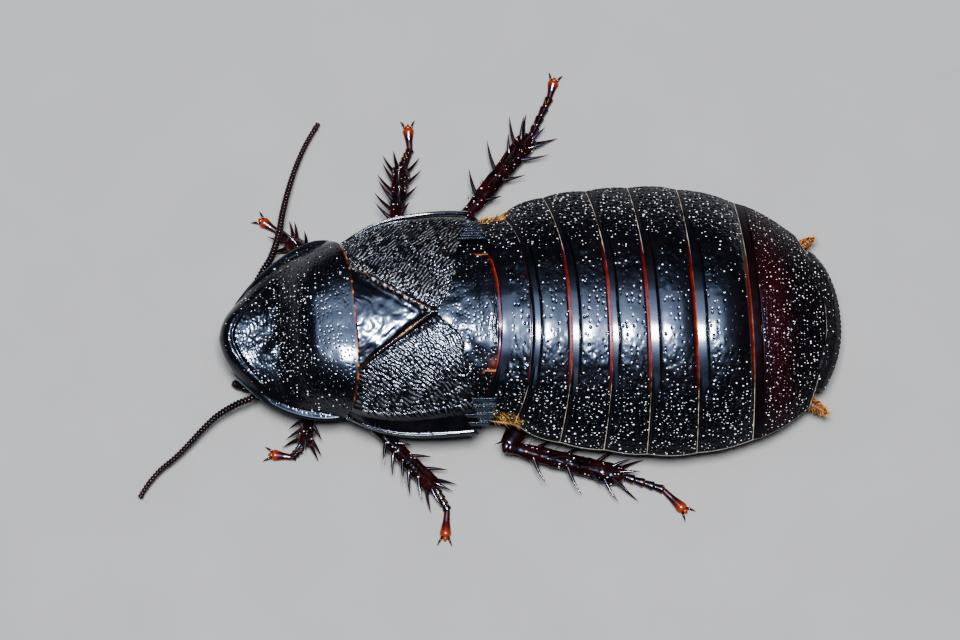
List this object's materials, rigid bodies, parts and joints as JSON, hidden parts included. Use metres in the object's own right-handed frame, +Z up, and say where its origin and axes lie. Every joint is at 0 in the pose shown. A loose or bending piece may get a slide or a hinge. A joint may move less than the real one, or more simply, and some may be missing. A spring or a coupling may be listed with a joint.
{
  "type": "australian wood cockroach",
  "caption": "Life-size still model of a wood cockroach with worn-off wings, standing on spined legs with its body close to the floor.",
  "frame": {"origin": "centre of the bounding box on the floor that the feet stand on", "axes": "+X towards the tail, -X towards the head, +Y towards the insect's right side, +Z up"},
  "size_m": [0.0398, 0.0278, 0.0079],
  "materials": {
    "shell_black": "glossy black cuticle with fine pits",
    "shell_red": "glossy dark wine red cuticle with coarse pits",
    "tail_plate": "finely rough grey-black cuticle",
    "underside": "smooth dark red-brown cuticle",
    "forewing": "leathery dark brown wing with fine veins",
    "hindwing": "thin pleated grey wing membrane",
    "leg": "glossy red-black cuticle",
    "orange_tip": "glossy orange-brown cuticle",
    "feeler": "satin brown-black, beaded",
    "eye": "glossy black"
  },
  "bodies": {
    "root": {"head": "shell_black", "eye_left": "eye", "antenna_left": "feeler", "palp_left": "feeler", "eye_right": "eye", "antenna_right": "feeler", "palp_right": "feeler", "pronotum": "shell_black", "mesonotum": "shell_black", "metanotum": "shell_black", "tegmen_left": "forewing", "hindwing_left": "hindwing", "tegmen_right": "forewing", "hindwing_right": "hindwing", "prosternum": "underside", "mesosternum": "underside", "metasternum": "underside", "tergite_1": "shell_black", "tergite_2": "shell_black", "tergite_3": "shell_black", "tergite_4": "shell_black", "tergite_5": "shell_black", "tergite_6": "shell_black", "tergite_7": "shell_red", "supra_anal_plate": "tail_plate", "sternite_1": "underside", "sternite_2": "underside", "sternite_3": "underside", "sternite_4": "underside", "sternite_5": "underside", "sternite_6": "underside", "subgenital_plate": "underside", "cercus_left": "orange_tip", "cercus_right": "orange_tip", "foreleg_left_coxa": "leg", "foreleg_left_femur": "leg", "foreleg_left_tibia": "leg", "foreleg_left_tarsus": "orange_tip", "foreleg_right_coxa": "leg", "foreleg_right_femur": "leg", "foreleg_right_tibia": "leg", "foreleg_right_tarsus": "orange_tip", "midleg_left_coxa": "leg", "midleg_left_femur": "leg", "midleg_left_tibia": "leg", "midleg_left_tarsus": "orange_tip", "midleg_right_coxa": "leg", "midleg_right_femur": "leg", "midleg_right_tibia": "leg", "midleg_right_tarsus": "orange_tip", "hindleg_left_coxa": "leg", "hindleg_left_femur": "leg", "hindleg_left_tibia": "leg", "hindleg_left_tarsus": "orange_tip", "hindleg_right_coxa": "leg", "hindleg_right_femur": "leg", "hindleg_right_tibia": "leg", "hindleg_right_tarsus": "orange_tip"}
  },
  "joints": []
}
